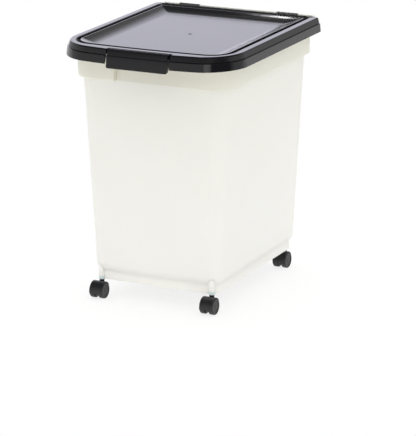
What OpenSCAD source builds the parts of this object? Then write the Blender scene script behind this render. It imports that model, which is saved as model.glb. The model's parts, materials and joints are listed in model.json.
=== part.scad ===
// Rolling pet food bin: a tapered translucent tub with a hinged gasketed lid,
// a front flip latch and four twin-wheel swivel casters.
// Origin on the floor under the middle of the whole bin, front at -Y, +Z up.

/* [Overall] */
// Width across the lid's lower edge
lid_w = 399; // [330:1:480]
// Depth from the latch face to the hinge rail's back
overall_d = 475; // [395:1:570]
// Height from the floor to the hinge rail's top
overall_h = 543; // [452:1:652]

/* [Lid] */
// Height of the skirt round the lid
skirt_h = 29; // [26:0.5:34]
// Height of the skirt's upper, set-in band
skirt_upper_h = 11.5; // [9:0.5:14]
// How far the skirt flares from its top edge to its bottom edge
skirt_flare = 7.7; // [5:0.1:9]
// Set-back of the upper band behind the lower one
skirt_step = 2; // [1:0.1:2.5]
// How far the front edge bows out between its corners
front_bow = 20.5; // [12:0.5:24]
// Corner radius at the front, at the lower edge
front_corner_r = 76; // [70:1:80]
// Corner radius at the rear, at the lower edge
rear_corner_r = 12; // [9:1:16]
// Wall of the lid
lid_wall = 2.6; // [2:0.1:3]
// Width of the flat rim at the sides
rim_side_w = 15.4; // [14:0.2:17]
// Width of the flat rim at the front, in the middle
rim_front_w = 24.4; // [23:0.2:26]
// Width of the flat rim at the rear
rim_rear_w = 12.3; // [11.5:0.1:14]
// Depth of the groove inside the rim
groove_depth = 3.6; // [2.5:0.1:4]
// Width of the groove inside the rim
groove_w = 7.5; // [6:0.5:9]
// Depth of the flat panel below the rim
panel_depth = 9.5; // [8:0.5:12]
// Width of the slope from the ridge down to the panel
panel_slope_w = 36; // [28:1:44]

/* [Tub] */
// Set-in of the wide upper band from the lid's lower edge, at each side
band_inset = 20; // [19:0.5:24]
// Set-in of the upper band from the latch face, at the front
band_front_inset = 46; // [44:0.5:52]
// Height of the band, from its step up to the rim flange
band_h = 43.5; // [36:0.5:56]
// Step from the band in to the tapered body
band_step = 11; // [8:0.5:14]
// How much each side wall leans in from the band down to the bottom bend
side_taper = 23.5; // [19:0.5:29]
// How much the front wall leans in
front_taper = 8; // [3:0.5:14]
// How much the rear wall leans in
rear_taper = 10; // [3:0.5:14]
// Wall of the tub
tub_wall = 2.8; // [2.2:0.1:3.4]
// Height of the straight plinth
plinth_h = 14.5; // [12:0.5:18]
// Height of the bend between the plinth and the walls
bend_h = 13; // [9:0.5:16]
// Set-in of the plinth below the walls
plinth_inset = 6; // [4:0.5:8]
// How far the hand recess runs past the latch, at each end
recess_margin = 6; // [4:0.5:15]

/* [Latch] */
// Width of the latch
latch_w = 138; // [114:1:166]
// Gap between the latch and the lid at each end
latch_gap = 3; // [2:0.25:3.5]
// How far the latch hangs below the lid's skirt
latch_drop = 8; // [5:0.5:9]
// Wall of the latch
latch_wall = 2.6; // [2:0.1:3]
// Diameter of the latch's pivot stubs
stub_d = 5; // [4:0.1:5.6]

/* [Hinge] */
// Distance of each hinge clip from the middle
clip_x = 115; // [95:1:138]
// Width of each hinge clip
clip_w = 47; // [34:1:50]
// Set-in of the hinge rail's ends from the lid's lower edge
rail_inset = 14.5; // [13:0.5:17]
// Diameter of the hinge bar
hinge_bar_d = 8; // [6:0.1:8]

/* [Casters] */
// Inset of the stems from the plinth's side walls
caster_side_inset = 10.5; // [10:0.5:16]
// Inset of the front stems from the tub's front wall at the bottom
caster_front_inset = 6.5; // [6:0.5:10]
// Inset of the rear stems from the tub's rear wall at the bottom
caster_rear_inset = 9; // [8:0.5:12]
// Distance of the axle in front of the swivel stem
caster_trail = 12; // [10:0.5:13]
// Diameter of each wheel
wheel_d = 33.6; // [28:0.2:41]
// Width of each wheel
wheel_w = 10.6; // [9:0.2:12]
// Width of the hood's core between the wheels
core_w = 8.2; // [7.8:0.2:10]
// Stem diameter
stem_d = 7; // [6:0.1:7.4]
// Axle diameter
axle_d = 5; // [4:0.1:5.6]

/* [Clearances] */
// Radial clearance where a shaft turns in a hole
running_fit = 0.08; // [0.03:0.01:0.1]
// Gap between faces that rest on each other across a joint
seat_gap = 0.3; // [0.2:0.05:0.5]

/* [Hidden] */
CORNERS = [["fl", -1, -1], ["fr", 1, -1], ["rl", -1, 1], ["rr", 1, 1]];
CASTER_PARTS = ["stem", "grip_ring", "hood", "axle", "wheel_left", "wheel_right"];
$fn = 48;

// Heights of the lid and rail
rail_top = overall_h;
lid_top = overall_h - 1;
skirt_z = lid_top - skirt_h;
crease_z = lid_top - skirt_upper_h;
plate_z = lid_top - lid_wall;
front_y = -overall_d / 2;
rear_y = overall_d / 2;

// Hinge: the bar's axis sits inside the rail, and the lid stops short of the rail
clip_r = hinge_bar_d / 2 + 3;
hinge_y = rear_y - 8.5;
hinge_z = rail_top - clip_r;
lid_rear_y = hinge_y - 9.7;
rail_front_y = hinge_y - 6;
rail_wall = 2.6;
rail_hw = lid_w / 2 - rail_inset;
clip_side_gap = 1.5;

// Outlines are [half width, front chord y, rear y, bow, front radius, rear radius]
edge_hw = lid_w / 2;
skirt_low = [edge_hw, front_y + front_bow, lid_rear_y, front_bow, front_corner_r, rear_corner_r];
skirt_top = shrink(skirt_low, skirt_flare, skirt_flare + 1.4, 1);
rim_bow = 6;
rim_in = [skirt_top[0] - rim_side_w, front_y + skirt_flare + 1.4 + rim_front_w + rim_bow,
    skirt_top[2] - rim_rear_w, rim_bow, 48, 8];

// Tub rim: an upstand inside the lid's channel, under the gasket
upstand_t = 2.6;
upstand_top = plate_z - 4.7;
upstand = [rim_in[0] + 9.6, rim_in[1] - 7, rim_in[2] + 7.8, rim_bow, 60, 18];
flange_z = skirt_z - 2.5;
flange_t = 2.5;

// Caster heights: the plinth stands just clear of the hoods' necks
wheel_r = wheel_d / 2;
side_gap = 0.5;
hood_gap = 0.6;
hood_t = 1.3;
hood_r = wheel_r + hood_gap + hood_t;
neck_z = wheel_r + hood_r + 2;
plinth_z = neck_z + 1;

// Tub body
band_z = flange_z - band_h;
band_hw = edge_hw - band_inset;
band_top = [band_hw, front_y + band_front_inset, upstand[2], 0, 52, 18];
band_low = shrink(band_top, 1.5, 1, 0);
body_top = shrink(band_low, band_step, band_step, band_step);
body_low = shrink(body_top, side_taper, front_taper, rear_taper);
bend_z = plinth_z + plinth_h + bend_h;
plinth_top_z = plinth_z + plinth_h;
plinth = shrink(body_low, plinth_inset, plinth_inset, plinth_inset);
floor_z = plinth_top_z;
recess_w = latch_w + 2 * recess_margin;

// Latch and its pivot
latch_axis_y = front_y + 16;
latch_axis_z = lid_top - 5.5;
latch_r = 5.8;
latch_z = skirt_z - latch_drop;
notch_hw = latch_w / 2 + latch_gap;
notch_y = latch_axis_y + latch_r + 0.5;
ear_w = 7;
stub_l = latch_gap + 5;
hook_t = 3.2;
hook_top = flange_z - seat_gap;

// Casters, in stem coordinates
stem_front_y = body_low[1] + caster_front_inset;
stem_rear_y = body_low[2] - caster_rear_inset;
caster_x = plinth[0] - caster_side_inset;
neck_d = stem_d + 3.4;
boss_z = neck_z + seat_gap;
boss_d = 13;
boss_top = bend_z + 6;
stem_low = wheel_r + axle_d / 2 + 2;
stem_top = bend_z + 1;
ring_z = stem_top - 6;
ring_h = 2;

function shrink(o, side, front, rear) = [
    o[0] - side, o[1] + front, o[2] - rear, o[3],
    max(o[4] - (side + front) / 2, 4), max(o[5] - (side + rear) / 2, 3)];
function grow(o, d) = shrink(o, -d, -d, -d);
function arc(cx, cy, r, a0, a1, n) =
    [for (i = [0:n]) let (a = a0 + (a1 - a0) * i / n) [cx + r * cos(a), cy + r * sin(a)]];
// Points in front of the middle move out by the bow, most at x = 0
function bowed(p, o) = [p[0], p[1] < 0 ? p[1] - o[3] * (1 - pow(p[0] / o[0], 2)) : p[1]];
function outline(o) =
    let (hw = o[0], yf = o[1], yr = o[2], rf = o[4], rr = o[5], steps = 12)
    [for (p = concat(
        arc(-hw + rf, yf + rf, rf, 180, 270, 9),
        [for (i = [1:steps - 1]) [(-hw + rf) * (1 - 2 * i / steps), yf]],
        arc(hw - rf, yf + rf, rf, 270, 360, 9),
        arc(hw - rr, yr - rr, rr, 0, 90, 5),
        arc(-hw + rr, yr - rr, rr, 90, 180, 5))) bowed(p, o)];

// Solid through outlines stacked at heights: rings = [[z, outline], ...]
module loft(rings) {
    n = len(outline(rings[0][1]));
    points = [for (r = rings) for (p = outline(r[1])) [p[0], p[1], r[0]]];
    last = (len(rings) - 1) * n;
    sides = [for (k = [0:len(rings) - 2]) for (i = [0:n - 1])
        let (a = k * n + i, b = k * n + (i + 1) % n)
        each [[a, a + n, b], [b, a + n, b + n]]];
    polyhedron(points, concat(sides,
        [[for (i = [0:n - 1]) i]], [[for (i = [n - 1:-1:0]) last + i]]), convexity = 6);
}

module slab(o, z, h) {
    translate([0, 0, z]) linear_extrude(h) polygon(outline(o));
}

module ring_wall(outer, t, z, h) {
    difference() {
        slab(outer, z, h);
        slab(grow(outer, -t), z - 1, h + 2);
    }
}

// Box given by its two corners
module block(a, b) {
    translate(a) cube(b - a);
}

// Cylinder along X, centred on x
module rod(x, y, z, d, l) {
    translate([x - l / 2, y, z]) rotate([0, 90, 0]) cylinder(d = d, h = l);
}

module at_corners() {
    for (c = CORNERS)
        translate([c[1] * caster_x, c[2] < 0 ? stem_front_y : stem_rear_y, 0]) children();
}

// ---- Tub ----

module tub_outside() {
    loft([[plinth_z, plinth], [plinth_top_z, plinth], [bend_z, body_low],
        [band_z, body_top], [flange_z + flange_t, body_top]]);
    difference() {
        loft([[band_z, band_low], [flange_z + flange_t, band_top]]);
        block([-recess_w / 2, band_top[1] - 10, band_z - 1],
            [recess_w / 2, body_top[1] + 1, flange_z]);
    }
    slab(upstand, flange_z, flange_t);
    ring_wall(upstand, upstand_t, flange_z, upstand_top - flange_z);
}

module tub_inside() {
    loft([[floor_z + tub_wall, shrink(plinth, tub_wall, tub_wall, tub_wall)],
        [bend_z + 1, shrink(body_low, tub_wall, tub_wall, tub_wall)],
        [band_z, shrink(body_top, tub_wall, tub_wall, tub_wall)],
        [rail_top, shrink(body_top, tub_wall, tub_wall, tub_wall)]]);
    difference() {
        loft([[band_z + tub_wall, shrink(band_low, tub_wall, tub_wall, tub_wall)],
            [flange_z + flange_t + 1, shrink(band_top, tub_wall, tub_wall, tub_wall)]]);
        block([-recess_w / 2 - tub_wall, band_top[1] - 10, band_z],
            [recess_w / 2 + tub_wall, body_top[1] + tub_wall, rail_top]);
    }
    // Hollow under the floor, inside the plinth
    slab(shrink(plinth, tub_wall, tub_wall, tub_wall), plinth_z - 1, floor_z - plinth_z + 1);
}

module hinge_rail() {
    hw = rail_hw;
    difference() {
        union() {
            block([-hw, upstand[2] - 20, flange_z], [hw, rear_y, flange_z + flange_t]);
            block([-hw, rear_y - rail_wall, flange_z], [hw, rear_y, rail_top]);
            block([-hw, rail_front_y, rail_top - rail_wall], [hw, rear_y, rail_top]);
            block([-hw, rail_front_y, hinge_z - 10], [hw, rail_front_y + rail_wall, rail_top]);
            for (x = [-hw, -clip_x - clip_w / 2 - clip_side_gap - rail_wall,
                    -clip_x + clip_w / 2 + clip_side_gap, -rail_wall / 2,
                    clip_x - clip_w / 2 - clip_side_gap - rail_wall,
                    clip_x + clip_w / 2 + clip_side_gap, hw - rail_wall])
                block([x, rail_front_y, flange_z], [x + rail_wall, rear_y, rail_top]);
        }
        for (s = [-1, 1])
            translate([s * clip_x, 0, 0])
                block([-clip_w / 2 - clip_side_gap, rail_front_y - 1, hinge_z - clip_r - 2],
                    [clip_w / 2 + clip_side_gap, rear_y + 1, rail_top + 1]);
        // The tub's mouth stays clear of the rail's foot
        slab(grow(upstand, -upstand_t), flange_z - 1, flange_t + 2);
    }
    for (s = [-1, 1])
        rod(s * clip_x, hinge_y, hinge_z, hinge_bar_d, clip_w + 2 * clip_side_gap + 2);
}

module stem_socket() {
    difference() {
        translate([0, 0, boss_z]) cylinder(d = boss_d, h = boss_top - boss_z);
        translate([0, 0, boss_z - 1]) cylinder(d = stem_d, h = stem_top - boss_z + 1.5);
        translate([0, 0, ring_z - 0.3]) cylinder(d = stem_d + 2.6, h = ring_h + 0.6);
    }
}

module tub() {
    color("ivory") {
        difference() {
            tub_outside();
            tub_inside();
            at_corners() translate([0, 0, plinth_z - 2])
                cylinder(d = boss_d - 2, h = boss_top - plinth_z);
        }
        at_corners() stem_socket();
        hinge_rail();
        // Ribs under the floor between the plinth's walls
        for (y = [-80, 0, 80])
            block([-plinth[0] + 1, y - 1.2, plinth_z + 4], [plinth[0] - 1, y + 1.2, floor_z + 1]);
    }
}

// ---- Lid ----

module lid_shell() {
    upper_step = shrink(skirt_low, skirt_flare * 0.55, skirt_flare * 0.6, 0.6);
    lower_step = grow(upper_step, skirt_step);
    ridge_w = 1.6;
    ridge_drop = 1.6;
    panel_z = lid_top - panel_depth;
    groove = grow(rim_in, -0.8);
    groove_in = grow(groove, -groove_w);
    ridge_out = grow(groove_in, -1.2);
    ridge_in = grow(ridge_out, -ridge_w);
    knee = grow(ridge_in, -panel_slope_w * 0.55);
    panel = grow(ridge_in, -panel_slope_w);
    knee_z = panel_z + 2;
    difference() {
        loft([[skirt_z, skirt_low], [crease_z - 1.2, lower_step], [crease_z, upper_step],
            [lid_top - 1.2, grow(skirt_top, 0.25)], [lid_top - 0.35, grow(skirt_top, -0.1)],
            [lid_top, grow(skirt_top, -0.8)]]);
        // Dished top: rim, groove, ridge, slope and flat panel
        loft([[panel_z, panel], [knee_z, knee], [lid_top - ridge_drop, ridge_in],
            [lid_top + 1, grow(ridge_in, 0.6)]]);
        difference() {
            loft([[lid_top - groove_depth, groove], [lid_top + 1, grow(rim_in, 0.2)]]);
            loft([[lid_top - groove_depth - 1, groove_in], [lid_top - groove_depth, groove_in],
                [lid_top - ridge_drop, ridge_out], [lid_top + 2, ridge_out]]);
        }
        slab(ridge_out, lid_top - ridge_drop, ridge_drop + 1);
        // Hollow underside, leaving the skirt, the rim plate and the dish
        difference() {
            loft([[skirt_z - 1, shrink(skirt_low, lid_wall, lid_wall, lid_wall)],
                [crease_z - 1.2, shrink(upper_step, lid_wall, lid_wall, lid_wall)],
                [plate_z, shrink(skirt_top, lid_wall, lid_wall, lid_wall)]]);
            loft([[panel_z - lid_wall, grow(panel, 2)], [knee_z - lid_wall, grow(knee, 1)],
                [lid_top - groove_depth - lid_wall, grow(groove_in, 0.5)],
                [lid_top - groove_depth - lid_wall + 0.1, grow(rim_in, lid_wall)],
                [lid_top, grow(rim_in, lid_wall)]]);
        }
    }
}

module lid_hinge_clip() {
    // Tongue over the rail's notch, ending in a hook round the hinge bar
    difference() {
        union() {
            block([-clip_w / 2, lid_rear_y - 8, rail_top - 3.4], [clip_w / 2, hinge_y, rail_top]);
            rod(0, hinge_y, hinge_z, clip_r * 2, clip_w);
        }
        rod(0, hinge_y, hinge_z, hinge_bar_d + 2 * running_fit, clip_w + 2);
        // Snap opening under the bar
        translate([0, hinge_y, hinge_z]) rotate([20, 0, 0])
            block([-clip_w / 2 - 1, -hinge_bar_d * 0.4, -clip_r - 1],
                [clip_w / 2 + 1, hinge_bar_d * 0.4, -hinge_bar_d * 0.2]);
    }
}

// Blind bores for the latch's stubs
module latch_bores() {
    for (s = [-1, 1])
        rod(s * (notch_hw + ear_w / 2 - 1), latch_axis_y, latch_axis_z,
            stub_d + 2 * running_fit, ear_w);
}

module lid() {
    color([0.07, 0.07, 0.08]) {
        difference() {
            lid_shell();
            // Opening for the latch
            block([-notch_hw, front_y - 10, skirt_z - 2], [notch_hw, notch_y, lid_top + 1]);
            // Rear skirt cut short so that it clears the tub as the lid swings
            block([-edge_hw + 11, lid_rear_y - 5, skirt_z - 2],
                [edge_hw - 11, lid_rear_y + 5, hinge_z - 6]);
            // Gate mark in the middle of the panel
            translate([0, 0, lid_top - panel_depth - 0.6]) cylinder(d = 5, h = 2);
            latch_bores();
        }
        // Wall behind the latch, and the ears that hold its stubs
        intersection() {
            block([-notch_hw - 1, notch_y, plate_z - 6], [notch_hw + 1, notch_y + 2, plate_z + 1]);
            slab(skirt_top, skirt_z, skirt_h - 0.5);
        }
        difference() {
            for (s = [-1, 1])
                rod(s * (notch_hw + ear_w / 2), latch_axis_y, latch_axis_z, 10, ear_w);
            latch_bores();
        }
        for (s = [-1, 1]) translate([s * clip_x, 0, 0]) lid_hinge_clip();
    }
}

module lid_gasket() {
    seat = grow(upstand, 0.7);
    color("gainsboro") ring_wall(seat, upstand_t + 1.4, upstand_top + seat_gap,
        plate_z - upstand_top - seat_gap);
}

// ---- Latch ----

module latch_profile(inset = 0) {
    y = latch_axis_y;
    top = latch_axis_z + latch_r - inset;
    polygon([[y, top], [y - 7.6, top], [y - 8.9 + inset, top - 1.2],
        [y - 12 + inset, crease_z], [y - 14 + inset, crease_z - 1.2],
        [front_y + inset, latch_z + 2], [front_y + 0.7 + inset, latch_z],
        [front_y + latch_wall + inset * 2, latch_z],
        [front_y + latch_wall + 1.6, crease_z - 4], [y - 8, crease_z + 1], [y, latch_axis_z - 4]]);
}

module extrude_x(w) {
    translate([-w / 2, 0, 0]) rotate([90, 0, 90]) linear_extrude(w) children();
}

module latch() {
    color([0.07, 0.07, 0.08]) {
        extrude_x(latch_w) latch_profile();
        rod(0, latch_axis_y, latch_axis_z, latch_r * 2, latch_w);
        for (s = [-1, 1])
            rod(s * (latch_w / 2 + stub_l / 2 - 1), latch_axis_y, latch_axis_z, stub_d, stub_l + 2);
        // End cheeks and stiffening ribs behind the face
        for (x = [-latch_w / 2, -latch_w / 6 - 1, latch_w / 6 - 1, latch_w / 2 - 2])
            translate([x, 0, 0]) rotate([90, 0, 90]) linear_extrude(2)
                polygon([[latch_axis_y, latch_axis_z - 3], [front_y + 6, crease_z - 1],
                    [front_y + 2, latch_z + 2], [front_y + 7, latch_z + 2],
                    [latch_axis_y + 1, crease_z - 8], [latch_axis_y + 4, latch_axis_z - 3]]);
        // Hook that catches under the tub's rim flange
        block([-45, front_y + 1.5, hook_top - hook_t], [45, upstand[1] - rim_bow + 6, hook_top]);
    }
}

// ---- Casters, each in its own stem's coordinates ----

module caster_stem() {
    color("silver") difference() {
        union() {
            translate([0, 0, stem_low]) cylinder(d = stem_d, h = stem_top - stem_low - 1);
            translate([0, 0, stem_top - 1]) cylinder(d1 = stem_d, d2 = stem_d - 2, h = 1);
        }
        // Groove for the grip ring
        translate([0, 0, ring_z]) difference() {
            cylinder(d = stem_d + 2, h = ring_h);
            cylinder(d = stem_d - 1.6, h = ring_h);
        }
    }
}

module caster_grip_ring() {
    color("dimgray") translate([0, 0, ring_z + 0.1]) difference() {
        cylinder(d = stem_d + 2.2, h = ring_h - 0.2);
        translate([0, 0, -1]) cylinder(d = stem_d - 1.4, h = ring_h + 2);
        block([0, -1.2, -1], [stem_d, 1.2, ring_h + 1]);
    }
}

module caster_hood() {
    hood_w = core_w + 2 * (side_gap + wheel_w) - 2.4;
    stem_hole = stem_d + 2 * running_fit;
    color([0.09, 0.09, 0.1]) difference() {
        union() {
            // Core plate between the wheels
            translate([0, -caster_trail, wheel_r]) rotate([0, 90, 0])
                cylinder(r = wheel_r - 3.5, h = core_w, center = true);
            intersection() {
                translate([0, -caster_trail, wheel_r]) rotate([0, 90, 0])
                    cylinder(r = hood_r, h = core_w, center = true);
                block([-core_w, -caster_trail - hood_r, wheel_r - 4], [core_w, hood_r, hood_r * 2]);
            }
            // Fender over both wheels
            difference() {
                intersection() {
                    translate([0, -caster_trail, wheel_r]) rotate([0, 90, 0])
                        cylinder(r = hood_r, h = hood_w, center = true);
                    block([-hood_w, -caster_trail - hood_r - 1, wheel_r - 5],
                        [hood_w, 4.5, hood_r * 2]);
                }
                translate([0, -caster_trail, wheel_r]) rotate([0, 90, 0])
                    cylinder(r = wheel_r + hood_gap, h = hood_w + 2, center = true);
            }
            // Neck round the stem
            translate([0, 0, wheel_r]) cylinder(d = neck_d, h = neck_z - wheel_r);
        }
        translate([0, 0, stem_low - 0.5]) cylinder(d = stem_hole, h = neck_z);
        // Room for the wheels beside the neck
        for (s = [-1, 1])
            rod(s * (core_w / 2 + side_gap / 2 + wheel_w / 2 + 1), -caster_trail, wheel_r,
                (wheel_r + hood_gap) * 2, wheel_w + side_gap + 2);
        rod(0, -caster_trail, wheel_r, axle_d, core_w + 2);
    }
}

module caster_axle() {
    color("silver") rod(0, -caster_trail, wheel_r, axle_d, core_w + 2 * (side_gap + wheel_w) - 5);
}

// One wheel with a dished outer face, a web and an inner hub; side is -1 or 1
module caster_wheel(side) {
    edge = 1.2;
    color([0.13, 0.13, 0.14])
    translate([side * (core_w / 2 + side_gap), -caster_trail, wheel_r]) rotate([0, side * 90, 0])
    rotate_extrude() polygon([
        [axle_d / 2 + running_fit, 0], [axle_d / 2 + running_fit, wheel_w - 2.2],
        [0, wheel_w - 2.2], [0, wheel_w - 0.3],
        [wheel_r - 3, wheel_w - 0.5], [wheel_r - 2.6, wheel_w], [wheel_r - edge, wheel_w],
        [wheel_r - edge * 0.3, wheel_w - edge * 0.3], [wheel_r, wheel_w - edge],
        [wheel_r, edge], [wheel_r - edge * 0.3, edge * 0.3], [wheel_r - edge, 0],
        [wheel_r - 3.2, 0], [wheel_r - 3.6, wheel_w - 3.2],
        [axle_d / 2 + 3.2, wheel_w - 3.2], [axle_d / 2 + 2.8, 0]]);
}

module caster_piece(part) {
    if (part == "stem") caster_stem();
    if (part == "grip_ring") caster_grip_ring();
    if (part == "hood") caster_hood();
    if (part == "axle") caster_axle();
    if (part == "wheel_left") caster_wheel(-1);
    if (part == "wheel_right") caster_wheel(1);
}

tub();
lid();
lid_gasket();
latch();
for (c = CORNERS) for (p = CASTER_PARTS)
    translate([c[1] * caster_x, c[2] < 0 ? stem_front_y : stem_rear_y, 0]) caster_piece(p);
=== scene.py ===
# Rolling pet food bin: milky moulded tub, glossy black lid with a flip latch, twin-wheel casters
import json
import math

import bpy
import bmesh
from mathutils import Matrix, Vector


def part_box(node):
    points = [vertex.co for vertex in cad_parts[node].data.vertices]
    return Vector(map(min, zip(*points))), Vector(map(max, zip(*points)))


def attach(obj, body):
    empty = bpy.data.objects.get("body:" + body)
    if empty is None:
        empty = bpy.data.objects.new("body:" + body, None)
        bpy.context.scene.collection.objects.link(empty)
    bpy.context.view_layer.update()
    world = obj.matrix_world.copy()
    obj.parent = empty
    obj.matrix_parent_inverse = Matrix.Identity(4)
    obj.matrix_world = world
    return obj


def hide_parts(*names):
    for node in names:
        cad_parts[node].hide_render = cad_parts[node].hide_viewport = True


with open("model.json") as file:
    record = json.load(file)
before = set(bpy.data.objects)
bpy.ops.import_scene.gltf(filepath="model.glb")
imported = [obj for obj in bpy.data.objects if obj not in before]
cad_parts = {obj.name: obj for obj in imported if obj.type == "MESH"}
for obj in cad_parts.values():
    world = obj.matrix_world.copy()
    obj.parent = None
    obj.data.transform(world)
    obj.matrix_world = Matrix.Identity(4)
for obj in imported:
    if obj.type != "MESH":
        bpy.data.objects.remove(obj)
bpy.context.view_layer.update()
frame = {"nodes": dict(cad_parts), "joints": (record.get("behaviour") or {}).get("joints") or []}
mm = 0.001
corners = ("fl", "fr", "rl", "rr")
stemPlaces = {c: (sum(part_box(f"caster_{c}_stem"), Vector()) / 2 / mm).to_2d() for c in corners}
print("frame loaded:", len(frame["nodes"]), "nodes")


# small tools

def linearColour(hexCode):
    channels = [int(hexCode[i:i + 2], 16) / 255 for i in (1, 3, 5)]
    return [c / 12.92 if c <= 0.04045 else ((c + 0.055) / 1.055) ** 2.4 for c in channels] + [1]


def addNode(tree, kind, settings=None, sockets=None, links=None):
    node = tree.nodes.new(kind)
    for name, value in (settings or {}).items():
        setattr(node, name, value)
    for name, value in (sockets or {}).items():
        node.inputs[name].default_value = value
    for name, source in (links or {}).items():
        tree.links.new(source, node.inputs[name])
    return node


def jointPlace(name):
    return Vector(next(j for j in frame["joints"] if j["name"] == name)["pos_m"]) / mm


def newMaterial(name):
    material = bpy.data.materials.new(name)
    material.use_nodes = True
    material.node_tree.nodes.clear()
    return material, material.node_tree


def inset(shape, side, front=None, rear=None):
    # the same outline, moved in by so many millimetres at its sides, front and rear
    front = side if front is None else front
    rear = side if rear is None else rear
    halfWidth, frontY, rearY, bow, frontRadius, rearRadius = shape
    return (halfWidth - side, frontY + front, rearY - rear, bow,
            max(frontRadius - (side + front) / 2, 4), max(rearRadius - (side + rear) / 2, 3))


def addRing(bm, z, shape):
    # one rounded outline, with its front edge bowed out in the middle
    halfWidth, frontY, rearY, bow, frontRadius, rearRadius = shape
    known = set(bm.edges)
    places = ((-halfWidth, frontY), (halfWidth, frontY), (halfWidth, rearY), (-halfWidth, rearY))
    points = [bm.verts.new((x * mm, y * mm, z * mm)) for x, y in places]
    bm.faces.new(points)
    for pair, radius, steps in ((points[2:], rearRadius, 6), (points[:2], frontRadius, 12)):
        bmesh.ops.bevel(bm, geom=pair, offset=radius * mm, segments=steps, profile=0.5,
                        affect="VERTICES", material=-1)
    edges = [e for e in bm.edges if e not in known]
    frontEdge = max((e for e in edges if all(abs(v.co.y - frontY * mm) < 1e-6 for v in e.verts)),
                    key=lambda e: e.calc_length())
    bmesh.ops.subdivide_edges(bm, edges=[frontEdge], cuts=15)
    edges = [e for e in bm.edges if e not in known]
    for v in {v for e in edges for v in e.verts}:
        if v.co.y < 0:
            v.co.y -= bow * mm * (1 - (v.co.x / (halfWidth * mm)) ** 2)
    bmesh.ops.delete(bm, geom=list({f for e in edges for f in e.link_faces}), context="FACES_ONLY")
    return edges


def skinRings(bm, rings, closed=False):
    # rings are (height, outline, softening radius, steps), bridged one to the next
    # they are bridged as a tall stack, because level rings would join across, then set to height
    loops = [addRing(bm, 200 * i, shape) for i, (z, shape, soft, steps) in enumerate(rings)]
    for low, high in zip(loops, loops[1:]):
        bmesh.ops.bridge_loops(bm, edges=low + high)
    for loop, (z, shape, soft, steps) in zip(loops, rings):
        for v in {v for e in loop for v in e.verts}:
            v.co.z = z * mm
    if closed:
        for loop in (loops[0], loops[-1]):
            bmesh.ops.edgeloop_fill(bm, edges=loop)
    for loop, (z, shape, soft, steps) in zip(loops, rings):
        if soft:
            bmesh.ops.bevel(bm, geom=loop, offset=soft * mm, segments=steps, profile=0.5,
                            affect="EDGES", material=-1, clamp_overlap=True)


def addBlock(bm, low, high):
    size, middle = (Vector(high) - Vector(low)) * mm, (Vector(low) + Vector(high)) / 2 * mm
    matrix = Matrix.Translation(middle) @ Matrix.Diagonal((*size, 1))
    return bmesh.ops.create_cube(bm, size=1, matrix=matrix)["verts"]


def addTray(bm, low, high, wall):
    # a block hollowed from below
    verts = addBlock(bm, low, high)
    bottom = min({f for v in verts for f in v.link_faces}, key=lambda f: f.calc_center_median().z)
    bmesh.ops.inset_region(bm, faces=[bottom], thickness=wall * mm)
    raised = bmesh.ops.extrude_face_region(bm, geom=[bottom])["geom"]
    up = (high[2] - low[2] - wall) * mm
    bmesh.ops.translate(bm, verts=[g for g in raised if isinstance(g, bmesh.types.BMVert)],
                        vec=(0, 0, up))
    bmesh.ops.delete(bm, geom=[bottom], context="FACES_ONLY")


def addPlate(bm, x, outline, thick):
    # a flat plate with that YZ outline, from x to x + thick
    verts = [bm.verts.new((x * mm, y * mm, z * mm)) for y, z in outline]
    face = bm.faces.new(verts)
    grown = bmesh.ops.extrude_face_region(bm, geom=[face])["geom"]
    bmesh.ops.translate(bm, vec=(thick * mm, 0, 0),
                        verts=[g for g in grown if isinstance(g, bmesh.types.BMVert)])
    return verts + [g for g in grown if isinstance(g, bmesh.types.BMVert)]


def addRod(bm, centre, diameter, length, axis="X", steps=48, soft=0):
    turn = {"X": Matrix.Rotation(math.pi / 2, 4, "Y"), "Z": Matrix.Identity(4)}[axis]
    made = bmesh.ops.create_cone(bm, cap_ends=True, segments=steps, radius1=diameter / 2 * mm,
                                 radius2=diameter / 2 * mm, depth=length * mm,
                                 matrix=Matrix.Translation(Vector(centre) * mm) @ turn)["verts"]
    if soft:
        rims = [e for e in {e for v in made for e in v.link_edges}
                if any(len(f.verts) > 4 for f in e.link_faces)]
        bmesh.ops.bevel(bm, geom=rims, offset=soft * mm, segments=3, profile=0.5,
                        affect="EDGES", material=-1)


def addLathe(bm, profile, centre, axis, start, steps=64):
    # profile is (along the axis, radius) in mm, spun right round
    verts = [bm.verts.new(Vector(centre) * mm + (axis * a + start * r) * mm) for a, r in profile]
    edges = [bm.edges.new((verts[i], verts[i + 1])) for i in range(len(verts) - 1)
             if profile[i][1] + profile[i + 1][1] > 0]
    if profile[0][1] > 0:
        edges.append(bm.edges.new((verts[-1], verts[0])))
    known = set(bm.verts) - set(verts)
    bmesh.ops.spin(bm, geom=verts + edges, cent=Vector(centre) * mm, axis=axis,
                   angle=math.tau, steps=steps, use_merge=True)
    bmesh.ops.remove_doubles(bm, verts=[v for v in bm.verts if v not in known], dist=0.01 * mm)


def addArcBar(bm, centre, halfLength, inner, outer, fromAngle, sweep, steps=24):
    # a bar of rectangular section bent round an axis along X; angles from +Y towards +Z
    out = Vector((0, math.cos(fromAngle), math.sin(fromAngle)))
    places = ((-halfLength, inner), (halfLength, inner), (halfLength, outer), (-halfLength, outer))
    verts = [bm.verts.new((Vector(centre) + Vector((x, 0, 0)) + out * r) * mm) for x, r in places]
    face = bm.faces.new(verts)
    bmesh.ops.spin(bm, geom=verts + list(face.edges) + [face], cent=Vector(centre) * mm,
                   axis=(1, 0, 0), angle=sweep, steps=steps)


def withModifiersApplied(obj):
    bpy.context.view_layer.update()
    mesh = bpy.data.meshes.new_from_object(obj.evaluated_get(bpy.context.evaluated_depsgraph_get()))
    obj.modifiers.clear()
    obj.data = mesh
    return obj


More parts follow.
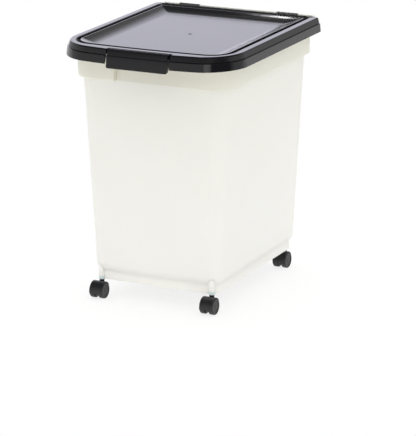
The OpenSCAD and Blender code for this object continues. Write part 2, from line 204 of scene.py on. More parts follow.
def toObject(bm, name, outward=True):
    if outward:
        bmesh.ops.recalc_face_normals(bm, faces=bm.faces)
    mesh = bpy.data.meshes.new(name)
    bm.to_mesh(mesh)
    bm.free()
    obj = bpy.data.objects.new(name, mesh)
    bpy.context.scene.collection.objects.link(obj)
    return obj


def cutAway(obj, cutters):
    for cutter in cutters:
        step = obj.modifiers.new("cut", "BOOLEAN")
        step.operation, step.solver, step.object = "DIFFERENCE", "EXACT", cutter
    withModifiersApplied(obj)
    for cutter in cutters:
        bpy.data.objects.remove(cutter)


def finishPiece(obj, body, materials, nodes, soft=0.3, angle=40):
    # soft edges, even shading, its finish, and the body that it moves with
    for material in materials:
        obj.data.materials.append(material)
    if soft:
        bevel = obj.modifiers.new("softEdges", "BEVEL")
        bevel.width, bevel.segments, bevel.limit_method = soft * mm, 2, "ANGLE"
        bevel.angle_limit, bevel.miter_outer = math.radians(angle), "MITER_ARC"
        bevel.use_clamp_overlap = True
        withModifiersApplied(obj)
    for face in obj.data.polygons:
        face.use_smooth = True
    obj.data.set_sharp_from_angle(angle=math.radians(38))
    weighted = obj.modifiers.new("evenShading", "WEIGHTED_NORMAL")
    weighted.keep_sharp = True
    withModifiersApplied(obj)
    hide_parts(*nodes)
    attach(obj, body)
    return obj


# finishes

def naturalPolypropylene(name, clear, cloudy):
    # Natural polypropylene, injection moulded: milky and waxy, light goes a few mm into the wall
    # the last entries are painted shade: a darker colour painted towards the top, and a darker, warmer one
    # painted over the upper band under the lid
    finish = {"cloudSize": 110, "grainSize": 1.6, "paintedShadeFrom": 100, "paintedShadeTo": 460, "paintedShadeTop": "#F7F7F5",
              "bandMiddle": 490, "bandHalf": 23.3, "paintedBandShade": "#F5F4EE"}
    material, tree = newMaterial(name)
    place = addNode(tree, "ShaderNodeTexCoord").outputs["Object"]
    clouds = addNode(tree, "ShaderNodeTexNoise",  # slow flow clouding, about 110 mm across
                     sockets={"Scale": 1000 / finish["cloudSize"], "Detail": 1.5, "Roughness": 0.4},
                     links={"Vector": place})
    colour = addNode(tree, "ShaderNodeMix", {"data_type": "RGBA"},
                     {6: linearColour(clear), 7: linearColour(cloudy)},
                     {0: clouds.outputs[0]})
    # painted shade: the colour is made a little darker towards the top, and darker and warmer over the upper
    # band, standing in for the shade under the black lid
    height = addNode(tree, "ShaderNodeSeparateXYZ", links={0: place}).outputs["Z"]
    paintedShadeRamp = addNode(tree, "ShaderNodeMapRange",
                      sockets={1: finish["paintedShadeFrom"] * mm, 2: finish["paintedShadeTo"] * mm}, links={0: height})
    paintedBandMask = addNode(tree, "ShaderNodeMath", {"operation": "COMPARE"},
                     {1: finish["bandMiddle"] * mm, 2: finish["bandHalf"] * mm}, {0: height})
    for share, shade in ((paintedShadeRamp, finish["paintedShadeTop"]), (paintedBandMask, finish["paintedBandShade"])):
        colour = addNode(tree, "ShaderNodeMix", {"data_type": "RGBA", "blend_type": "MULTIPLY"},
                         {7: linearColour(shade)}, {0: share.outputs[0], 6: colour.outputs[2]})
    grain = addNode(tree, "ShaderNodeTexNoise",  # eroded tool texture is 0.1 mm, drawn at 1.6 mm to show
                    sockets={"Scale": 1000 / finish["grainSize"], "Detail": 2, "Roughness": 0.6},
                    links={"Vector": place})
    sheen = addNode(tree, "ShaderNodeMapRange", sockets={3: 0.36, 4: 0.46},
                    links={0: grain.outputs[0]})
    bump = addNode(tree, "ShaderNodeBump", sockets={"Strength": 0.12, "Distance": 0.05 * mm},
                   links={"Height": grain.outputs[0]})
    shader = addNode(tree, "ShaderNodeBsdfPrincipled",
                     sockets={"IOR": 1.49, "Subsurface Weight": 0.35, "Subsurface Scale": 8 * mm,
                              "Subsurface Radius": (1.0, 0.95, 0.8)},
                     links={"Base Color": colour.outputs[2], "Roughness": sheen.outputs[0],
                            "Normal": bump.outputs[0]})
    addNode(tree, "ShaderNodeOutputMaterial", links={"Surface": shader.outputs[0]})
    return material


def blackPolypropylene(name, roughness, spread, ripple, shine=0.5):
    # Black polypropylene from a polished tool: deep gloss with the faint ripple that moulding leaves
    finish = {"body": "#101012", "worn": "#18181B", "rippleSize": 14, "scuffSize": 3}
    material, tree = newMaterial(name)
    place = addNode(tree, "ShaderNodeTexCoord").outputs["Object"]
    ripples = addNode(tree, "ShaderNodeTexNoise",  # sink and flow ripple, about 14 mm apart
                      sockets={"Scale": 1000 / finish["rippleSize"], "Detail": 1, "Roughness": 0.3},
                      links={"Vector": place})
    scuffs = addNode(tree, "ShaderNodeTexNoise",  # handling haze in 3 mm patches
                     sockets={"Scale": 1000 / finish["scuffSize"], "Detail": 3, "Roughness": 0.6},
                     links={"Vector": place})
    colour = addNode(tree, "ShaderNodeMix", {"data_type": "RGBA"},
                     {6: linearColour(finish["body"]), 7: linearColour(finish["worn"])},
                     {0: scuffs.outputs[0]})
    gloss = addNode(tree, "ShaderNodeMapRange", sockets={3: roughness, 4: roughness + spread},
                    links={0: scuffs.outputs[0]})
    bump = addNode(tree, "ShaderNodeBump", sockets={"Strength": ripple, "Distance": 0.05 * mm},
                   links={"Height": ripples.outputs[0]})
    shader = addNode(tree, "ShaderNodeBsdfPrincipled", sockets={"IOR": 1.5, "Specular IOR Level": shine},
                     links={"Base Color": colour.outputs[2], "Roughness": gloss.outputs[0],
                            "Normal": bump.outputs[0]})
    addNode(tree, "ShaderNodeOutputMaterial", links={"Surface": shader.outputs[0]})
    return material


def softRubber():
    # Grey thermoplastic rubber, moulded matt: dry, with a fine skin
    finish = {"body": "#A9A9A6", "shade": "#9A9A97", "skinSize": 1.2}
    material, tree = newMaterial("greyRubberMoulded")
    place = addNode(tree, "ShaderNodeTexCoord").outputs["Object"]
    skin = addNode(tree, "ShaderNodeTexNoise",  # rubber skin, 1.2 mm
                   sockets={"Scale": 1000 / finish["skinSize"], "Detail": 2},
                   links={"Vector": place})
    colour = addNode(tree, "ShaderNodeMix", {"data_type": "RGBA"},
                     {6: linearColour(finish["body"]), 7: linearColour(finish["shade"])},
                     {0: skin.outputs[0]})
    bump = addNode(tree, "ShaderNodeBump", sockets={"Strength": 0.3, "Distance": 0.1 * mm},
                   links={"Height": skin.outputs[0]})
    shader = addNode(tree, "ShaderNodeBsdfPrincipled", sockets={"IOR": 1.5, "Roughness": 0.75},
                     links={"Base Color": colour.outputs[2], "Normal": bump.outputs[0]})
    addNode(tree, "ShaderNodeOutputMaterial", links={"Surface": shader.outputs[0]})
    return material


def casterPlastic(name, body, worn, roughness):
    # Black glass-filled nylon, moulded: satin, a little grey where it rubs
    material, tree = newMaterial(name)
    place = addNode(tree, "ShaderNodeTexCoord").outputs["Object"]
    grit = addNode(tree, "ShaderNodeTexNoise",  # fibre mottle, drawn at 1 mm
                   sockets={"Scale": 1000 / 1.0, "Detail": 3, "Roughness": 0.7},
                   links={"Vector": place})
    colour = addNode(tree, "ShaderNodeMix", {"data_type": "RGBA"},
                     {6: linearColour(body), 7: linearColour(worn)}, {0: grit.outputs[0]})
    gloss = addNode(tree, "ShaderNodeMapRange", sockets={3: roughness, 4: roughness + 0.12},
                    links={0: grit.outputs[0]})
    bump = addNode(tree, "ShaderNodeBump", sockets={"Strength": 0.15, "Distance": 0.05 * mm},
                   links={"Height": grit.outputs[0]})
    shader = addNode(tree, "ShaderNodeBsdfPrincipled", sockets={"IOR": 1.52},
                     links={"Base Color": colour.outputs[2], "Roughness": gloss.outputs[0],
                            "Normal": bump.outputs[0]})
    addNode(tree, "ShaderNodeOutputMaterial", links={"Surface": shader.outputs[0]})
    return material


def platedSteel():
    # Bright zinc-plated steel, turned then plated: cool, with fine turning lines round it
    finish = {"plate": "#D3DADC", "dull": "#B5BFC3", "lineSize": 0.6}
    material, tree = newMaterial("zincPlatedSteel")
    place = addNode(tree, "ShaderNodeTexCoord").outputs["Object"]
    mottle = addNode(tree, "ShaderNodeTexNoise",  # plating bloom and turning lines, 0.6 mm
                     sockets={"Scale": 1000 / finish["lineSize"], "Detail": 2},
                     links={"Vector": place})
    colour = addNode(tree, "ShaderNodeMix", {"data_type": "RGBA"},
                     {6: linearColour(finish["plate"]), 7: linearColour(finish["dull"])},
                     {0: mottle.outputs[0]})
    gloss = addNode(tree, "ShaderNodeMapRange", sockets={3: 0.22, 4: 0.4},
                    links={0: mottle.outputs[0]})
    shader = addNode(tree, "ShaderNodeBsdfPrincipled", sockets={"Metallic": 1.0},
                     links={"Base Color": colour.outputs[2], "Roughness": gloss.outputs[0]})
    addNode(tree, "ShaderNodeOutputMaterial", links={"Surface": shader.outputs[0]})
    return material


milkyPlastic = naturalPolypropylene("naturalPolypropyleneMoulded", "#F8F7F0", "#F4F2EA")
socketPlastic = naturalPolypropylene("naturalPolypropyleneOverSteel", "#E2EDEA", "#D6E6E3")
lidGloss = blackPolypropylene("blackPolypropylenePolished", 0.06, 0.06, 0.05)
panelGloss = blackPolypropylene("blackPolypropyleneSatin", 0.14, 0.06, 0.06)
# the latch is grained finely to hide finger marks, so it shines a little less
latchGloss = blackPolypropylene("blackPolypropyleneFineGrain", 0.08, 0.06, 0.05, shine=0.3)
rubber = softRubber()
hoodPlastic = casterPlastic("blackNylonHood", "#121214", "#1E1E21", 0.34)
wheelPlastic = casterPlastic("blackNylonWheel", "#17171A", "#26262A", 0.4)
steel = platedSteel()
print("finishes made")


# tub

tub = {
    "plinthLow": 38.5, "plinthTop": 53, "bendTop": 66, "bandLow": 467, "flange": 510.5,
    "upstandTop": 534.7, "wall": 2.7,
    "upstand": (186, -205, 213.8, 6, 60, 18), "bandTop": (179.5, -191.5, 213.8, 0, 52, 18),
    "recessHalf": 74.6, "recessY": -179.5,
    "bandLean": (1.5, 1, 0), "ledge": 11, "lean": (23.5, 8, 10), "plinthStep": 6,  # each side, front, rear
    "bendSoft": 10, "ledgeSoft": 2.2, "ledgeUnder": 2.5, "plinthSoft": 5, "rimSoft": 0.9,
    "floorThick": 2.8, "ribPlaces": (-80, 0, 80), "ribThick": 2.4, "ribLift": 4,
}
socket = {"width": 13, "bore": 7.2, "low": 37.8, "coolBelow": 45, "domeFrom": 64, "boreTop": 68.6, "top": 72}


def addTubSurface(bm, rings, recessHalf, recessY):
    # one face of the wall, with the upper band stopped at the hand recess behind the latch
    known = set(bm.faces)
    skinRings(bm, rings)
    for x in (-recessHalf - 1.4, -recessHalf, recessHalf, recessHalf + 1.4):
        near = [f for f in bm.faces if f not in known and f.calc_center_median().y < -0.1
                and tub["bandLow"] - 8 < f.calc_center_median().z / mm < tub["flange"] + 4]
        geom = near + list({e for f in near for e in f.edges}) + list({v for f in near for v in f.verts})
        bmesh.ops.bisect_plane(bm, geom=geom, plane_co=(x * mm, 0, 0), plane_no=(1, 0, 0))
    band = {v for f in bm.faces if f not in known for v in f.verts}
    for v in band:
        x, y, z = v.co / mm
        inBand = tub["bandLow"] - 4 < z < tub["flange"] + 2.7
        if inBand and abs(x) < recessHalf + 0.1 and -200 < y < recessY:
            v.co.y = recessY * mm
    bmesh.ops.remove_doubles(bm, verts=list(band), dist=0.02 * mm)


def findLoop(edge):
    # the points of the open border that this edge is on
    found, ahead = set(), [edge.verts[0]]
    while ahead:
        v = ahead.pop()
        if v not in found:
            found.add(v)
            ahead += [e.other_vert(v) for e in v.link_edges if e.is_boundary]
    return found


def makeTub():
    wall, low, top = tub["wall"], tub["plinthLow"], tub["upstandTop"]
    bandLow = inset(tub["bandTop"], *tub["bandLean"])
    bodyTop = inset(bandLow, tub["ledge"])
    bodyLow = inset(bodyTop, *tub["lean"])
    plinth = inset(bodyLow, tub["plinthStep"])
    bm = bmesh.new()
    for d, lift in ((0, 0), (wall, 1)):
        addTubSurface(bm, [
            (low, inset(plinth, d), 0, 0), (tub["plinthTop"], inset(plinth, d), tub["plinthSoft"], 4),
            (tub["bendTop"] + lift, inset(bodyLow, d), tub["bendSoft"], 6),
            (tub["bandLow"] + lift * wall, inset(bodyTop, d), tub["ledgeUnder"], 4),
            (tub["bandLow"] + lift * wall, inset(bandLow, d), tub["ledgeSoft"], 5),
            (tub["flange"] + lift * 2.5, inset(tub["bandTop"], d), 1, 3),
            (tub["flange"] + lift * 2.5, inset(tub["upstand"], d), tub["rimSoft"], 3),
            (top, inset(tub["upstand"], d), 0, 0)], tub["recessHalf"] + d, tub["recessY"] + d)
    # the two faces are joined along the rim and along the foot, with one of them held away meanwhile
    for height in (low, top):
        rims = [e for e in bm.edges if e.is_boundary and
                all(abs(v.co.z - height * mm) < 1e-5 for v in e.verts)]
        outer = findLoop(max(rims, key=lambda e: e.verts[0].co.x))
        for v in outer:
            v.co.z += 0.1
        bmesh.ops.bridge_loops(bm, edges=rims)
        for v in outer:
            v.co.z -= 0.1

    # floor, ribs, caster sockets and the hinge rail belong to the same moulding
    skinRings(bm, [(tub["plinthTop"], inset(plinth, 1), 0, 0),
                   (tub["plinthTop"] + tub["floorThick"], inset(plinth, 1), 0, 0)], closed=True)
    for y in tub["ribPlaces"]:
        addBlock(bm, (-plinth[0] + 1, y - tub["ribThick"] / 2, low + tub["ribLift"]),
                 (plinth[0] - 1, y + tub["ribThick"] / 2, tub["plinthTop"] + 0.5))
    foot, dome, boreTop, end = (socket[k] for k in ("low", "domeFrom", "boreTop", "top"))
    bore, radius = socket["bore"] / 2, socket["width"] / 2
    for x, y in stemPlaces.values():
        addLathe(bm, [(boreTop, 0), (boreTop, bore), (foot, bore), (foot, radius - 0.4),
                      (foot + 0.4, radius), (socket["coolBelow"], radius), (dome, radius),
                      (dome + 3, radius - 0.5), (dome + 5.5, radius - 1.6), (end - 0.8, radius - 3.2),
                      (end, radius - 5), (end, 0)],
                 (x, y, 0), Vector((0, 0, 1)), Vector((1, 0, 0)), 40)
    addRail(bm)
    return toObject(bm, "tubMoulding")


rail = {"front": 223, "rear": 237.5, "top": 543, "foot": 510.5, "half": 175, "wall": 2.6,
        "clipX": 115, "notch": 50, "trayLow": 526, "barWidth": 8, "ledge": 212.6}


def addRail(bm):
    half, wall, notch = rail["half"], rail["wall"], rail["notch"] / 2
    front, rear, foot, top = rail["front"], rail["rear"], rail["foot"], rail["top"]
    # three hollow lengths, with the clips' notches between them
    stops = (-half, -rail["clipX"] - notch, -rail["clipX"] + notch,
             rail["clipX"] - notch, rail["clipX"] + notch, half)
    for left, right in zip(stops[::2], stops[1::2]):
        addTray(bm, (left, front, rail["trayLow"]), (right, rear, top), wall)
        for x in (left, right - wall):
            addBlock(bm, (x, front, foot), (x + wall, rear - 0.05, rail["trayLow"] + 0.5))
    addBlock(bm, (-wall / 2, front, foot), (wall / 2, rear - 0.05, rail["trayLow"] + 14))
    addBlock(bm, (-half, rear - wall, foot), (half, rear, rail["trayLow"] + 0.8))
    addBlock(bm, (-half, rail["ledge"], foot), (half, rear - 0.02, foot + 2.5))
    axis = jointPlace("lid_hinge")
    for side in (-1, 1):
        addRod(bm, (side * rail["clipX"], axis.y, axis.z), rail["barWidth"], rail["notch"] + 2)


tubPiece = finishPiece(makeTub(), "root", [milkyPlastic, socketPlastic], ["tub"], soft=0.5)
for face in tubPiece.data.polygons:  # the steel stems show cool through the sockets' feet
    away = min((face.center.to_2d() / mm - place).length for place in stemPlaces.values())
    if away < socket["width"] / 2 and face.center.z / mm < socket["coolBelow"]:
        face.material_index = 1
print("tub made")


# lid

lid = {
    "skirtLow": 513, "crease": 530.5, "top": 542, "wall": 2.6,
    "edge": (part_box("lid")[1].x / mm, -217, 219.3, 20.5, 76, 12), "rimInner": (176.4, -198, 206, 6, 48, 8),
    "flare": 7.7, "creaseStep": 2, "creaseCut": 0.9,
    "rimSoft": 2.8, "rearLean": 2.4, "rearCut": (188.5, 214.3),
    "groove": 6.4, "grooveWidth": 7.5, "ridge": 1.6, "ridgeRise": 1.2, "ridgeDrop": 0.4,
    "panelDrop": 9.5, "slope": 36, "slopeSteps": 9, "notchHalf": 72, "notchY": -215.2,
    "dimpleBall": 5, "dimpleDeep": 1.9, "ear": 7, "earWidth": 10,
    "satinBox": ((-165, -186, 532), (165, 195, 537.5)),
}


def makeLid():
    low, crease, top, wall = lid["skirtLow"], lid["crease"], lid["top"], lid["wall"]
    edge, rim, flare = lid["edge"], lid["rimInner"], lid["flare"]
    topEdge = inset(edge, flare, flare + 1.4, 1)
    upper = inset(edge, flare * 0.55, flare * 0.6, 0.6)
    lower = inset(upper, -lid["creaseStep"])
    grooveOut = inset(rim, 0.8)
    grooveIn = inset(grooveOut, lid["grooveWidth"])
    ridgeOut = inset(grooveIn, lid["ridgeRise"])
    ridgeIn = inset(ridgeOut, lid["ridge"])
    grooveZ, ridgeZ, panelZ = top - lid["groove"], top - lid["ridgeDrop"], top - lid["panelDrop"]
    # the slope inside the ridge, steep at first and easing into the flat panel
    steps = [i / lid["slopeSteps"] for i in range(1, lid["slopeSteps"] + 1)]
    slope = [(ridgeZ + (panelZ - ridgeZ) * math.sin(t * math.pi / 2), inset(ridgeIn, lid["slope"] * t))
             for t in steps]
    bm = bmesh.new()
    skinRings(bm, [(z - wall, inset(shape, -0.8), 0, 0) for z, shape in slope[:2:-1]] + [
        (grooveZ - wall, inset(grooveIn, -0.5), 0.6, 2), (grooveZ - wall, inset(rim, -wall), 0.6, 2),
        (top - wall, inset(rim, -wall), 0.6, 2), (top - wall, inset(topEdge, wall), 1.5, 3),
        (crease - 1.2, inset(upper, wall), 1, 2), (low, inset(edge, wall), 0.5, 2),
        (low, edge, 0.5, 2), (crease - 1.2, lower, 0.4, 3),
        (crease - 0.5, inset(upper, lid["creaseCut"]), 0, 0), (crease + 0.7, upper, 0.3, 2),
        (top, topEdge, lid["rimSoft"], 6), (top, rim, 1.7, 5), (grooveZ, grooveOut, 0.9, 4),
        (grooveZ, grooveIn, 0.7, 3), (ridgeZ, ridgeOut, 0.6, 3), (ridgeZ, ridgeIn, 0.7, 3)]
        + [(z, shape, 0, 0) for z, shape in slope], closed=True)
    # the rear rim leans forwards, down to its inner edge
    rearY, backY = rim[2], topEdge[2]
    for v in bm.verts:
        x, y, z = v.co / mm
        if y > rearY - 9 and z > top - 2:
            across = min(max((rim[0] - abs(x)) / 8, 0), 1)
            forward = min(max((backY - y) / (backY - rearY), 0), 1)
            v.co.z -= lid["rearLean"] * across * forward * mm
    shell = toObject(bm, "lidMoulding")
    # the latch's opening, the rear of the skirt and the dimple are cut out
    half, notchY = lid["notchHalf"], lid["notchY"]
    cutHalf, cutY = lid["rearCut"]
    cuts = []
    for a, b in (((-half, -260, low - 2), (half, notchY, top + 1)),
                 ((-cutHalf, cutY, low - 2), (cutHalf, cutY + 10, crease - 0.5))):
        bm = bmesh.new()
        addBlock(bm, a, b)
        cuts.append(toObject(bm, "cutter"))
    bm = bmesh.new()
    ball = lid["dimpleBall"]
    bmesh.ops.create_uvsphere(bm, u_segments=32, v_segments=24, radius=ball * mm,
                              matrix=Matrix.Translation((0, 0, (panelZ + ball - lid["dimpleDeep"]) * mm)))
    cuts.append(toObject(bm, "cutter"))
    cutAway(shell, cuts)

    bm = bmesh.new()
    addBlock(bm, (-half - 1, notchY - 0.02, top - 8.6), (half + 1, notchY + 2, top - 1.6))
    axis = jointPlace("latch_flip")
    for side in (-1, 1):
        addRod(bm, (side * (half + lid["ear"] / 2), axis.y, axis.z), lid["earWidth"], lid["ear"], soft=0.6)
        addClip(bm, side * rail["clipX"])
    bmesh.ops.recalc_face_normals(bm, faces=bm.faces)
    bm.from_mesh(shell.data)
    bpy.data.objects.remove(shell)
    return toObject(bm, "lidMoulding", outward=False)


clip = {"width": 47, "bar": 4.1, "outer": 7, "front": 211.3, "tongueThick": 3.4, "tongueDrop": 3.2,
        "open": 36, "leans": -70}


def addClip(bm, x):
    # tongue over the rail's notch, ending in a C that grips the hinge bar
    axis = jointPlace("lid_hinge")
    half, high, thick, front = clip["width"] / 2, rail["top"], clip["tongueThick"], clip["front"]
    low = high - clip["tongueDrop"]
    addPlate(bm, x - half, ((front, low - thick), (axis.y, high - thick), (axis.y, high - 0.1),
                            (front, low)), clip["width"])
    addArcBar(bm, (x, axis.y, axis.z), half, clip["bar"], clip["outer"],
              math.radians(clip["leans"] + clip["open"]), math.radians(360 - 2 * clip["open"]), 32)


lidPiece = finishPiece(makeLid(), "lid", [lidGloss, panelGloss], ["lid"], soft=0.35)
for face in lidPiece.data.polygons:  # the panel and the foot of its slope are satin
    inBox = all(a < c < b for a, c, b in zip(lid["satinBox"][0], face.center / mm, lid["satinBox"][1]))
    if inBox and face.normal.z > 0.5:
        face.material_index = 1
print("lid made")


# latch

latch = {
    "half": 67.6, "faceBottom": 505, "barrel": 5.8, "stub": 5, "stubLength": 10,
    "profile": ((-221.5, 542.3), (-229.1, 540.7), (-230.6, 539.5), (-233.5, 530.5), (-235.5, 529.3),
                (-237.5, 507), (-236.8, 505), (-234.9, 505), (-233.3, 526.5), (-229.5, 531.5),
                (-221.5, 532.5)),
    "cornerSoft": 3.5, "ribThick": 2,
    "hookHalf": 45, "hookTop": 510.2, "hookThick": 3.2, "hookReach": (-236, -205),
}


def makeLatch():
    half, barrel = latch["half"], latch["barrel"]
    axis = jointPlace("latch_flip")
    bm = bmesh.new()
    verts = addPlate(bm, -half, latch["profile"], half * 2)
    low = latch["faceBottom"]
    ends = [e for e in {e for v in verts for e in v.link_edges}
            if all(abs(abs(v.co.x / mm) - half) < 0.01 and v.co.z / mm < low + 0.1 for v in e.verts)
            and abs(e.verts[0].co.x - e.verts[1].co.x) < 1e-6]
    bmesh.ops.bevel(bm, geom=ends, offset=latch["cornerSoft"] * mm, segments=4, profile=0.5,
                    affect="EDGES", material=-1)
    addRod(bm, axis, barrel * 2, half * 2)
    for side in (-1, 1):
        addRod(bm, (side * (half + 3), axis.y, axis.z), latch["stub"], latch["stubLength"], soft=0.4)
    rib = latch["ribThick"]
    for x in (-half, -half / 3 - rib / 2, half / 3 - rib / 2, half - rib):
        addPlate(bm, x, ((axis.y, axis.z - 3), (-231.5, 529.5), (-235.5, low + 2), (-230.5, low + 2),
                         (axis.y + 1, 522.5), (axis.y + 4, axis.z - 3)), rib)
    top, hookHalf, (hookFront, hookRear) = latch["hookTop"], latch["hookHalf"], latch["hookReach"]
    addBlock(bm, (-hookHalf, hookFront, top - latch["hookThick"]), (hookHalf, hookRear, top))
    return toObject(bm, "latchMoulding")


finishPiece(makeLatch(), "latch", [latchGloss], ["latch"], soft=0.5)
print("latch made")


# casters

caster = {
    "trail": 12, "wheelRadius": 16.8, "wheelWidth": 10.6, "wheelInner": 4.6, "hoodRadius": 18.7,
    "fenderInner": 17.4, "fenderHalf": 14, "fenderFrom": 28, "fenderSweep": 167.5,
    "coreInner": 12.6, "coreHalf": 4.1, "coreFrom": -12, "coreSweep": 204, "hubWidth": 26.6,
    "axle": 5, "neck": 10.4, "neckLow": 28, "neckTop": 37.5, "stemHole": 7.16,
}


def makeHood(centre):
    x, y = centre
    axle = (x, y - caster["trail"], caster["wheelRadius"])
    radius, core = caster["hoodRadius"], caster["coreHalf"]
    bm = bmesh.new()
    # fender over both wheels, and the core between them
    addArcBar(bm, axle, caster["fenderHalf"], caster["fenderInner"], radius,
              math.radians(caster["fenderFrom"]), math.radians(caster["fenderSweep"]), 36)
    addArcBar(bm, axle, core, caster["coreInner"], radius - 0.02,
              math.radians(caster["coreFrom"]), math.radians(caster["coreSweep"]), 36)
    addRod(bm, axle, caster["hubWidth"], core * 2, soft=0.5)
    bore, neck, low, top = caster["stemHole"] / 2, caster["neck"] / 2, caster["neckLow"], caster["neckTop"]
    addLathe(bm, [(low, bore), (low, neck), (top - 0.7, neck), (top, neck - 0.7), (top, bore)],
             (x, y, 0), Vector((0, 0, 1)), Vector((1, 0, 0)), 40)
    return toObject(bm, "hood")


def makeWheel(centre, side):
    x, y = centre
    radius, width, hole = caster["wheelRadius"], caster["wheelWidth"], caster["axle"] / 2 + 0.08
    # tread with rolled edges, a dished face inside a raised rim, a hub cap, and a hollow back
    profile = [(0, hole), (width - 2.4, hole), (width - 2.4, 0), (width - 0.6, 0), (width - 0.6, 3.2),
               (width - 1.1, 3.9), (width - 1.1, radius - 5), (width - 0.8, radius - 4.2),
               (width - 0.15, radius - 3.6), (width, radius - 3), (width, radius - 1.6),
               (width - 0.35, radius - 0.6), (width - 1.2, radius - 0.05), (width - 2.2, radius),
               (2, radius), (0.8, radius - 0.2), (0.15, radius - 0.9), (0, radius - 1.8),
               (0, radius - 3.2), (width - 3.4, radius - 3.8), (width - 3.4, 5.7), (0, 5.3)]
    bm = bmesh.new()
    addLathe(bm, profile, (x + side * caster["wheelInner"], y - caster["trail"], radius),
             Vector((side, 0, 0)), Vector((0, 0, 1)), 72)
    return toObject(bm, "wheel")


for corner in corners:
    place = stemPlaces[corner]
    hood = makeHood(place)
    hood.name = f"caster_{corner}_hoodMoulding"
    finishPiece(hood, f"caster_{corner}", [hoodPlastic],
                [f"caster_{corner}_hood"], soft=0.35)
    for side, word in ((-1, "left"), (1, "right")):
        wheel = makeWheel(place, side)
        wheel.name = f"caster_{corner}_{word}Wheel"
        finishPiece(wheel, f"wheel_{corner}_{word}", [wheelPlastic],
                    [f"caster_{corner}_wheel_{word}"], soft=0)
print("casters made")

keptFinishes = {"gasket": rubber, "stem": steel, "grip_ring": steel, "axle": steel}
for name, node in frame["nodes"].items():
    kept = next((m for word, m in keptFinishes.items() if name.endswith(word)), None)
    if kept:
        node.data.materials.clear()
        node.data.materials.append(kept)
print("kept nodes finished")


# room

room = {
    "floorSize": 14, "floor": "#F4F4F3", "plainFrom": 0.3, "plainTo": 0.9, "plainNear": 0.8,
    "skyLow": 0.62, "skyHigh": 1.52,
    "horizon": 0.66, "ceiling": 0.1, "ceilingFrom": 0.3, "ceilingTo": 0.65,  # what gloss sees
    "darkCorner": (0.89, -0.45, 0.05), "darkFrom": 0.79, "darkTo": 0.95, "dark": 0.08,
}


def makeRoom():
    # pale floor that fades to plain white away from the bin, under a soft sky that is brighter overhead
    bm = bmesh.new()
    bmesh.ops.create_grid(bm, x_segments=1, y_segments=1, size=room["floorSize"] / 2)
    floor = toObject(bm, "floor", outward=False)
    material, tree = newMaterial("paleFloor")
    floor.data.materials.append(material)
    place = addNode(tree, "ShaderNodeTexCoord").outputs["Object"]
    away = addNode(tree, "ShaderNodeVectorMath", {"operation": "LENGTH"}, links={0: place})
    fade = addNode(tree, "ShaderNodeMapRange", {"interpolation_type": "SMOOTHSTEP"},
                   {1: room["plainFrom"], 2: room["plainTo"], 3: room["plainNear"], 4: 1},
                   {0: away.outputs["Value"]})
    rays = addNode(tree, "ShaderNodeLightPath")
    seen = addNode(tree, "ShaderNodeMath", {"operation": "ADD"},
                   links={0: rays.outputs["Is Camera Ray"], 1: rays.outputs["Is Glossy Ray"]})
    seen = addNode(tree, "ShaderNodeMath", {"operation": "ADD", "use_clamp": True},
                   links={0: seen.outputs[0], 1: rays.outputs["Is Transmission Ray"]})
    share = addNode(tree, "ShaderNodeMath", {"operation": "MULTIPLY"},
                    links={0: fade.outputs[0], 1: seen.outputs[0]})
    lit = addNode(tree, "ShaderNodeBsdfDiffuse", sockets={"Color": linearColour(room["floor"])})
    plain = addNode(tree, "ShaderNodeEmission", sockets={"Strength": 1.0})
    mixed = addNode(tree, "ShaderNodeMixShader",
                    links={0: share.outputs[0], 1: lit.outputs[0], 2: plain.outputs[0]})
    addNode(tree, "ShaderNodeOutputMaterial", links={"Surface": mixed.outputs[0]})

    world = bpy.data.worlds.new("studio")
    bpy.context.scene.world = world
    world.use_nodes = True
    tree = world.node_tree
    tree.nodes.clear()
    toward = addNode(tree, "ShaderNodeTexCoord").outputs["Generated"]
    up = addNode(tree, "ShaderNodeSeparateXYZ", links={0: toward})
    # gloss sees a pale horizon, a darker ceiling and an unlit corner of the studio
    ceiling = addNode(tree, "ShaderNodeMapRange", {"interpolation_type": "SMOOTHSTEP"},
                      {1: room["ceilingFrom"], 2: room["ceilingTo"], 3: room["horizon"],
                       4: room["ceiling"]}, {0: up.outputs["Z"]})
    corner = addNode(tree, "ShaderNodeVectorMath", {"operation": "DOT_PRODUCT"},
                     {1: room["darkCorner"]}, {0: toward})
    unlit = addNode(tree, "ShaderNodeMapRange", {"interpolation_type": "SMOOTHSTEP"},
                    {1: room["darkFrom"], 2: room["darkTo"], 3: 1.0, 4: room["dark"]},
                    {0: corner.outputs["Value"]})
    studio = addNode(tree, "ShaderNodeMath", {"operation": "MULTIPLY"},
                     links={0: ceiling.outputs[0], 1: unlit.outputs[0]})
    soft = addNode(tree, "ShaderNodeMapRange",  # brighter overhead
                   sockets={1: 0, 2: 1, 3: room["skyLow"], 4: room["skyHigh"]},
                   links={0: up.outputs["Z"]})
    rays = addNode(tree, "ShaderNodeLightPath")
    even = addNode(tree, "ShaderNodeMix", {"data_type": "FLOAT"},
                   links={0: rays.outputs["Is Glossy Ray"], 2: soft.outputs[0], 3: studio.outputs[0]})
    strength = addNode(tree, "ShaderNodeMix", {"data_type": "FLOAT"}, {3: 1.0},
                       {0: rays.outputs["Is Camera Ray"], 2: even.outputs[0]})
    sky = addNode(tree, "ShaderNodeBackground", sockets={"Color": (1, 1, 1, 1)},
                  links={"Strength": strength.outputs[0]})
    addNode(tree, "ShaderNodeOutputWorld", links={"Surface": sky.outputs[0]})


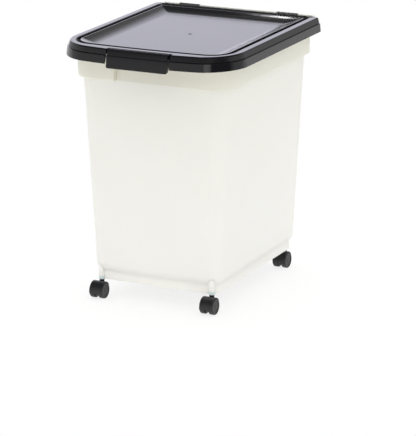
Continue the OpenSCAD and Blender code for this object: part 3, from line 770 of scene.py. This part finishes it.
lamps = {
    # place, aim, width, height, radiance, tint
    "panelBox": ((-1.22, 2.15, 0.95), (0, 0, 0.54), 2.2, 1.3, 1.0, "#E8E6FF"),
    "overBox": ((-0.5, 0.9, 1.66), (0.11, 0.2, 0.54), 0.1, 0.07, 22, "#FFFFFF"),
    "frontBox": ((1.15, -2.1, 0.5), (0, 0, 0.1), 0.7, 0.9, 0.9, "#FFFDF8"),
}


def makeLamps():
    for name, (place, aim, width, height, radiance, tint) in lamps.items():
        light = bpy.data.lights.new(name, "AREA")
        light.shape, light.size, light.size_y = "RECTANGLE", width, height
        light.energy = radiance * math.pi * width * height
        light.color = linearColour(tint)[:3]
        lamp = bpy.data.objects.new(name, light)
        lamp.location = place
        lamp.rotation_euler = (Vector(aim) - Vector(place)).to_track_quat("-Z", "Y").to_euler()
        lamp.visible_camera = False
        bpy.context.scene.collection.objects.link(lamp)


camera = {"azimuth": 27.07, "elevation": 16.47, "roll": -0.68, "distance": 5.5125,
          "target": (0, -0.0038, 0.1402), "lens": 217.74, "shiftX": 0.0382, "shiftY": 0.0002}


def makeCamera():
    around, rise, roll = (math.radians(camera[k]) for k in ("azimuth", "elevation", "roll"))
    back = Vector((math.sin(around) * math.cos(rise), -math.cos(around) * math.cos(rise), math.sin(rise)))
    right = Vector((math.cos(around), math.sin(around), 0))
    up = back.cross(right)
    across = right * math.cos(roll) + up * math.sin(roll)
    above = up * math.cos(roll) - right * math.sin(roll)
    lens = bpy.data.cameras.new("camera")
    lens.lens, lens.sensor_width = camera["lens"], 36
    lens.shift_x, lens.shift_y = camera["shiftX"], camera["shiftY"]
    lens.clip_end = 60
    eye = bpy.data.objects.new("camera", lens)
    turn = Matrix((across, above, back)).transposed().to_4x4()
    eye.matrix_world = Matrix.Translation(Vector(camera["target"]) + back * camera["distance"]) @ turn
    bpy.context.scene.collection.objects.link(eye)
    bpy.context.scene.camera = eye


makeRoom()
makeLamps()
makeCamera()
bpy.context.scene.view_settings.view_transform = "Standard"
print("room, lamps and camera set")
